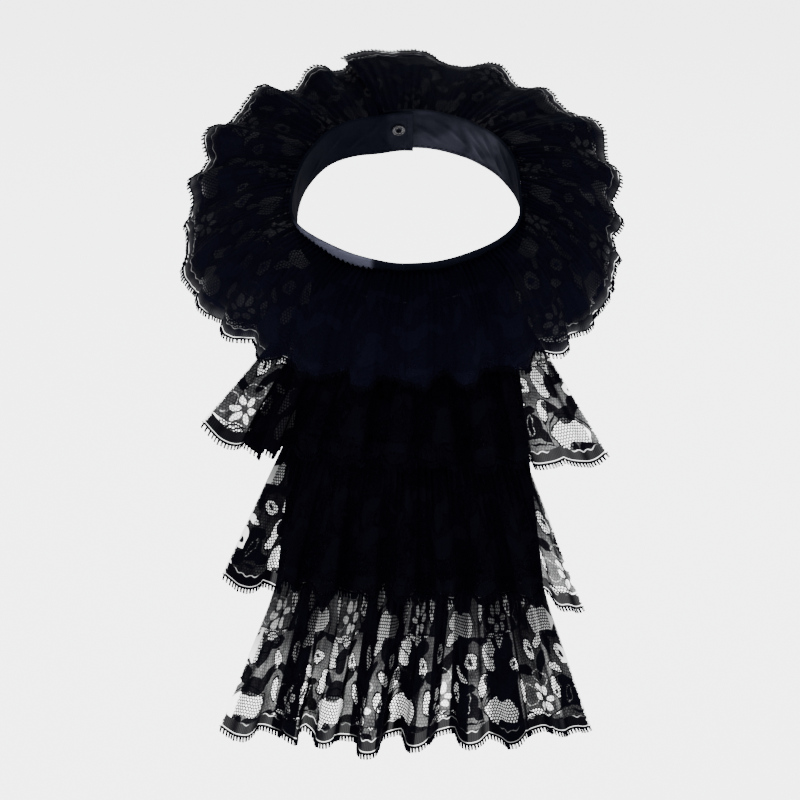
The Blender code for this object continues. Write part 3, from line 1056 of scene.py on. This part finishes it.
def picots(name, scallops, place, slot):
    """The hem's cord, and the small thread loops that stand on it."""
    count = scallops * PICOTS_PER_SCALLOP
    beside = 0.15 / count
    loops = []
    for k in range(count):
        middle = (k + 0.5) / count
        foot = place(middle, 1.0)
        outward = (foot - place(middle, 0.98)).normalized()
        along = (place(middle + beside, 1.0) - place(middle - beside, 1.0)).normalized()
        half = PICOT_WIDTH / 2 * (0.85 + 0.3 * noise.noise(Vector((k * 0.7, 0, 1))))
        length = PICOT_LENGTH * (1 + 0.22 * noise.noise(Vector((k * 0.9, 2, 0))))
        outward += along * PICOT_SLANT
        low, high = foot - along * half, foot + along * half
        loops.append([low, low + outward * length, high + outward * length, high])
    cord_steps = scallops * CORD_STEPS_PER_SCALLOP
    loops.append([place(k / cord_steps, 1.0) for k in range(cord_steps + 1)])
    return threads(name, loops, PICOT_THREAD, thread_look, slot)


def ruff_smooth_place(across, down):
    """ruff_place between the columns, for the threads along the hem."""
    spot = min(max(across * ruff_columns, 0), ruff_columns)
    low = min(int(spot), ruff_columns - 1)
    before, after = (ruff_place((low + k) / ruff_columns, down) for k in (0, 1))
    return before.lerp(after, spot - low)


RUFF_TINT = ((0.0006, 0.0006, 0.0018), (0.0025, 0.0025, 0.0068))
made = cloth_grid(ruff_columns, RUFF_ROWS, 4, ruff_flat, ruff_place, ruff_facing)
ruff_lace = lace_look("ruff lace", 0.6, 13.0, 11.5, RUFF_TINT, 0.48)
lace_ruff = piece_from(made, "lace_ruff", ruff_lace)
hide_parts("collar_ruff")

seam = []
for k in range(RUFF_SEAM_STEPS + 1):
    spot = (k / RUFF_SEAM_STEPS, RUFF_SEAM_DOWN)
    seam.append(ruff_smooth_place(*spot) + ruff_facing(*spot) * RUFF_SEAM_PROUD)
ruff_stitches = threads("ruff_stitches", stitches(seam), SEWN_THREAD, thread_look, "collar_ruff")
ruff_picots = picots("ruff_picots", ruff_scallops, ruff_smooth_place, "collar_ruff")


# ---- Panel
# A piece of black satin cut wider below, with narrow turned hems. Its top edge is sewn under
# the neckband's front and the three lace tiers are sewn on it.

CHEST_LEAN = math.radians(15)
CHEST_RISE = 0.0115
CHEST_RISE_LENGTH = 0.0350
CHEST_RADIUS_ABOVE = 0.0850
CHEST_RADIUS_BELOW = 0.1400
CHEST_ROUND_WIDTH = 0.0560
CHEST_SIDE_SLOPE = 0.25
PANEL_WALL = 0.0012  # the solid's
PANEL_CLOTH = 0.0008  # the satin's own
PANEL_TOP_HALF_WIDTH = 0.0500
PANEL_BOTTOM_HALF_WIDTH = 0.0690
PANEL_HEIGHT = 0.1560
PANEL_BOTTOM = 0.1960
PANEL_RIPPLE = 0.0004
NECK_TO_CHEST = 0.0450
PANEL_COLUMNS = 96
PANEL_ROWS = 110
HEM_WIDTH = 0.0060
HEM_STEP = 0.0004
HEM_SOFTNESS = 0.0015
SIDE_SEAM_ENDS = (0.02, 0.96)  # shares of the way down, and across for the bottom hem's seam
BOTTOM_SEAM_ENDS = (0.05, 0.95)
BOTTOM_SEAM_DOWN = 0.965
PANEL_SEAM_STEPS = 700
PANEL_SEAM_PROUD = 0.0005
TIER_SEAM_DROP = 0.0022  # the tiers' stitches lie below their upper edges, behind the panel
TIER_SEAM_DEPTH = 0.0009
TIER_SEAM_SHARE = 0.94  # of a tier's upper edge

# in mm, where each lace tier is sewn on: how far below the band's middle at its left end, its
# middle and its right end, how far out its two ends are, and how much farther up the thin
# lace reaches than the solid does
TIER_SIZES = ("left", "middle", "right", "left_half", "right_half", "lap")
TIERS = {
    "tier_1": dict(zip(TIER_SIZES, (53, 54, 58, 54, 58, 0))),
    "tier_2": dict(zip(TIER_SIZES, (120, 121, 127, 62, 57, 0))),
    "tier_3": dict(zip(TIER_SIZES, (193, 195, 194, 66, 66, 4))),
}

DOWN = Vector((0, -math.sin(CHEST_LEAN), -math.cos(CHEST_LEAN)))
OUT = Vector((0, -math.cos(CHEST_LEAN), math.sin(CHEST_LEAN)))
FORWARD = Vector((0, -1, 0))


def chest_point(across, down, out):
    return SIDE * across + DOWN * down + OUT * out


def neck_edge(across):
    """Where the band's lower edge lies, down and out on the chest's axes."""
    held = min(abs(across), CHEST_ROUND_WIDTH)
    angle = math.asin(held / BAND_RADIUS)
    edge = ring_point(angle, BAND_RADIUS, -BAND_HEIGHT / 2 - SEAM_GAP - PANEL_WALL / 2)
    return edge.dot(DOWN), edge.dot(OUT)


def chest_out(across, down):
    """How far out the chest's surface is, at a place across and down."""
    neck_down, neck_out = neck_edge(across)
    middle_down, middle_out = neck_edge(0)
    fall = max(down - middle_down, 0)
    chest = middle_out + CHEST_RISE * (1 - math.exp(-fall / CHEST_RISE_LENGTH))
    radius = mix(CHEST_RADIUS_ABOVE, CHEST_RADIUS_BELOW, smooth_step(fall / PANEL_BOTTOM))
    held = min(abs(across), CHEST_ROUND_WIDTH)
    chest -= held * held / (2 * radius)
    chest -= CHEST_SIDE_SLOPE * (abs(across) - held)
    return mix(neck_out, chest, smooth_step((down - neck_down) / NECK_TO_CHEST))


def chest_normal(across, down):
    here = chest_point(across, down, chest_out(across, down))
    aside = chest_point(across + MM, down, chest_out(across + MM, down)) - here
    below = chest_point(across, down + MM, chest_out(across, down + MM)) - here
    return below.cross(aside).normalized()


def panel_spot(across, down):
    half = mix(PANEL_TOP_HALF_WIDTH, PANEL_BOTTOM_HALF_WIDTH, down)
    side = half * (2 * across - 1)
    top, _ = neck_edge(side)
    return side, mix(top, PANEL_BOTTOM, down)


def panel_place(across, down):
    side, fall = panel_spot(across, down)
    point = chest_point(side, fall, chest_out(side, fall))
    ripple = noise.noise(Vector((side * 60, fall * 22, 4))) * PANEL_RIPPLE
    width = PANEL_TOP_HALF_WIDTH + PANEL_BOTTOM_HALF_WIDTH
    to_edge = min(width * min(across, 1 - across), PANEL_HEIGHT * (1 - down))
    hem = 1 - smooth_step((to_edge - HEM_WIDTH) / HEM_SOFTNESS)
    return point + chest_normal(side, fall) * (ripple - HEM_STEP * hem)


made = cloth_grid(PANEL_COLUMNS, PANEL_ROWS, 1, panel_spot, panel_place)
bmesh.ops.recalc_face_normals(made, faces=made.faces)
panel_satin = satin_look("black satin of the panel")
panel = piece_from(made, "satin_panel", panel_satin)
wall = panel.modifiers.new("wall", "SOLIDIFY")
wall.thickness = PANEL_CLOTH
wall.offset = 0
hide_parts("jabot_panel")


def on_panel(across, down, face):
    """A point just above the panel's front, where face is 1, or its back."""
    proud = chest_normal(*panel_spot(across, down)) * PANEL_SEAM_PROUD
    return panel_place(across, down) + proud * face


rows = []
for face in (1, -1):
    for side in (1, -1):
        hem = []
        for k in range(PANEL_SEAM_STEPS + 1):
            down = mix(*SIDE_SEAM_ENDS, k / PANEL_SEAM_STEPS)
            half = mix(PANEL_TOP_HALF_WIDTH, PANEL_BOTTOM_HALF_WIDTH, down)
            across = 0.5 + side * (0.5 - (HEM_WIDTH - MM) / (2 * half))
            hem.append(on_panel(across, down, face))
        rows += stitches(hem)
    hem = []
    for k in range(PANEL_SEAM_STEPS + 1):
        across = mix(*BOTTOM_SEAM_ENDS, k / PANEL_SEAM_STEPS)
        hem.append(on_panel(across, BOTTOM_SEAM_DOWN, face))
    rows += stitches(hem)
for tier in TIERS.values():
    seam = []
    for k in range(PANEL_SEAM_STEPS + 1):
        share = k / PANEL_SEAM_STEPS
        side = mix(-tier["left_half"], tier["right_half"], share) * TIER_SEAM_SHARE * MM
        fall = mix(tier["left"], tier["right"], share) * MM + TIER_SEAM_DROP
        point = chest_point(side, fall, chest_out(side, fall))
        seam.append(point - chest_normal(side, fall) * TIER_SEAM_DEPTH)
    rows += stitches(seam)
panel_stitches = threads("panel_stitches", rows, SEWN_THREAD, thread_look, "jabot_panel")


# ---- Lace tiers
# Three equal strips of the same lace, each gathered by hand and sewn across the panel, so
# that each hem hides the next one's seam. Their ends fall free past the panel's edges.

TIER_WIDTH = 0.0750
TIER_GAP = 0.0006 + (PANEL_WALL + LACE_WALL) / 2
TIER_GATHERS_PER_SCALLOP = 3
TIER_GATHER_AT_SEAM = 0.0028
TIER_GATHER_AT_HEM = 0.0008
TIER_RIPPLE = 0.0026
TIER_PULL = 0.36
TIER_GROWTH = 1.1
FOLDED_SOFTNESS = 1.2  # in mm, how softly a part that is folded under begins
TIER_COLUMNS_PER_SCALLOP = 26
TIER_ROWS = 34

# across, off the chest and lower by, in mm, for each turn of the hem, and two turns a line
HEMS = {
    "tier_1": (
        (-107, 13, 4), (-92, 17, 4),
        (-79, 10, 4), (-74, 24, 5),
        (-62, 9, 0), (-52, 20, 0),
        (-41, 9, 0), (-29, 21, 1),
        (-19, 9, 0), (-6, 22, 0),
        (4, 9, -2), (17, 20, 0),
        (27, 9, 0), (38, 22, 1),
        (48, 9, 0), (58, 19, 0),
        (67, 10, 2), (84, 17, 4),
        (102, 11, 7),
    ),
    "tier_2": (
        (-96, 12, 2), (-82, 17, 2),
        (-69, 10, 0), (-63, 23, -2),
        (-53, 9, -1), (-42, 21, 0),
        (-33, 9, -1), (-22, 22, 0),
        (-13, 9, -2), (-2, 20, 0),
        (8, 9, -1), (18, 23, 0),
        (28, 9, -1), (39, 20, 0),
        (49, 9, -1), (58, 21, 0),
        (68, 10, 0), (79, 16, 5),
        (89, 12, 10),
    ),
    "tier_3": (
        (-98, 9, 7), (-86, 14, 5),
        (-71, 5, 1), (-61, 19, 2),
        (-53, 5, 1), (-43, 16, 3),
        (-32, 4, 0), (-21, 24, 5),
        (-9, 4, -1), (4, 19, 2),
        (17, 4, -3), (30, 15, 2),
        (43, 9, 1), (54, 16, 3),
        (67, 4, -1), (76, 12, 2),
        (84, 6, 1), (93, 9, 4),
    ),
}

# where cloth is folded under, across at the hem and half width in mm, and how many times over
FOLDED_UNDER = {
    "tier_1": ((-98, 12, 0.7), (-74, 12.5, 12.0), (55, 6, 3.0)),
    "tier_2": ((-86, 14, 1.4), (-62, 6, 6.0), (56, 5, 3.0)),
    "tier_3": (
        (-65.5, 5.2, 5.0),
        (-28.4, 2.4, 4.0),
        (-15.0, 2.8, 5.0),
        (-4.0, 4.6, 1.8),
        (11.0, 2.4, 4.5),
        (24.0, 4.4, 3.5),
        (50.0, 9.0, 3.4),
        (70.0, 8.0, 0.8),
        (88.0, 7.0, 1.0),
    ),
}


def make_tier(name, number, look):
    seam = {key: size * MM for key, size in TIERS[name].items()}
    hem = fold_line([[size * MM for size in turn] for turn in HEMS[name]], TIER_PULL)
    scallops = round(cloth_length(hem) / SCALLOP)
    columns = scallops * TIER_COLUMNS_PER_SCALLOP
    folds = evenly(hem, columns)

    def flat(across, down):
        drop = scallop_drop(across * scallops, down)
        return (across * scallops + number - 1) * SCALLOP, TIER_WIDTH * (1 - down) - drop

    def place(across, down):
        spot = min(max(across * columns, 0), columns)
        low = min(int(spot), columns - 1)
        ends = zip(folds[low], folds[low + 1])
        hem_across, hem_out, hang = (mix(a, b, spot - low) for a, b in ends)
        head_across = mix(-seam["left_half"], seam["right_half"], across)
        end = seam["left" if across < 0.5 else "right"]
        head = mix(seam["middle"], end, (2 * across - 1) ** 2)
        length = TIER_WIDTH + hang + scallop_drop(across * scallops, down)
        fall = math.sqrt(length**2 - (hem_across - head_across) ** 2 - hem_out**2)
        side = mix(head_across, hem_across, down)
        lower = head + fall * down - seam["lap"] * (1 - smooth_step(down * 4))
        point = chest_point(side, lower, chest_out(side, lower))
        fine = mix(TIER_GATHER_AT_SEAM, TIER_GATHER_AT_HEM, down**0.6)
        fine *= gather(across * scallops, TIER_GATHERS_PER_SCALLOP, number * 3.7)
        lift = TIER_GAP - GATHER_SUNK + fine * smooth_step(0.25 + down * 7)
        ripple = noise.noise(Vector((across * scallops * 0.8, down * 2.2, number * 9.1)))
        forward = hem_out * down**TIER_GROWTH + ripple * TIER_RIPPLE * smooth_step(down * 1.5)
        return point + chest_normal(side, lower) * lift + FORWARD * forward

    def doubled(across):
        """How many times over the cloth lies folded under there."""
        hem_across = folds[min(int(across * columns), columns)][0] / MM
        layers = 0.0
        for middle, half, count in FOLDED_UNDER[name]:
            inside = (half - abs(hem_across - middle)) / FOLDED_SOFTNESS
            layers = max(layers, count * smooth_step(inside + 0.5))
        return layers

    made = cloth_grid(columns, TIER_ROWS, 2, flat, place, lambda across, down: OUT, doubled)
    tier = piece_from(made, "lace_" + name, look)
    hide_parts(name)
    edge = picots("picots_" + name, scallops, place, name)


TIER_TINT = ((0.0006, 0.0005, 0.0013), (0.0024, 0.0022, 0.0048))
tier_lace = lace_look("tier lace", 24.0, 74.0, 5.5, TIER_TINT, 0.0)
for number, name in enumerate(TIERS, 1):
    make_tier(name, number, tier_lace)
